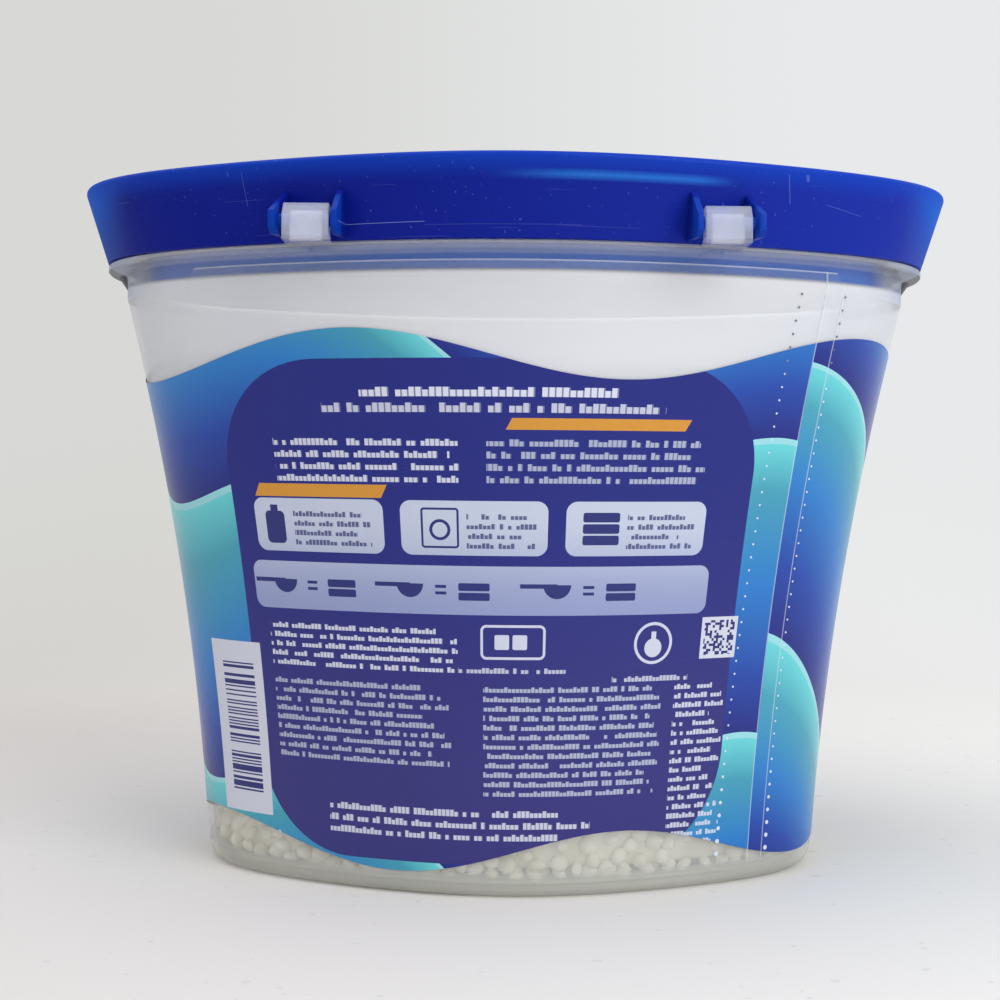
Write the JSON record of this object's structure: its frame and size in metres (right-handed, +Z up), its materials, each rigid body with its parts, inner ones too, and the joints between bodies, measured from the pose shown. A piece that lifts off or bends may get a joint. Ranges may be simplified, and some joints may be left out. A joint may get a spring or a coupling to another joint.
{
  "type": "laundry bead tub",
  "caption": "Tapered oval plastic tub of laundry scent beads with a flip-top hinged lid, a printed film sleeve and a measuring scoop inside.",
  "frame": {"origin": "centre of the tub's footprint on the surface it stands on", "axes": "+X along the tub's length, +Y towards the thumb tab, with the hinge on the -Y side, +Z up"},
  "size_m": [0.217, 0.1632, 0.1674],
  "materials": {
    "tub": "natural polypropylene, milky and see-through",
    "lid": "royal blue polypropylene, satin with fine scratches",
    "sleeve": "printed glossy film, clear at its upper and lower edges",
    "beads": "cream, slightly waxy",
    "scoop": "clear natural polypropylene"
  },
  "bodies": {
    "tub_body": {"tub": "tub", "sleeve": "sleeve", "beads": "beads", "scoop": "scoop"},
    "lid_body": {"lid": "lid"}
  },
  "joints": [
    {"name": "lid_hinge", "type": "hinge", "parent": "tub_body", "child": "lid_body", "pos_m": [0, -0.0756, 0.1529], "axis": [1, 0, 0], "range_deg": [0, 115]}
  ]
}
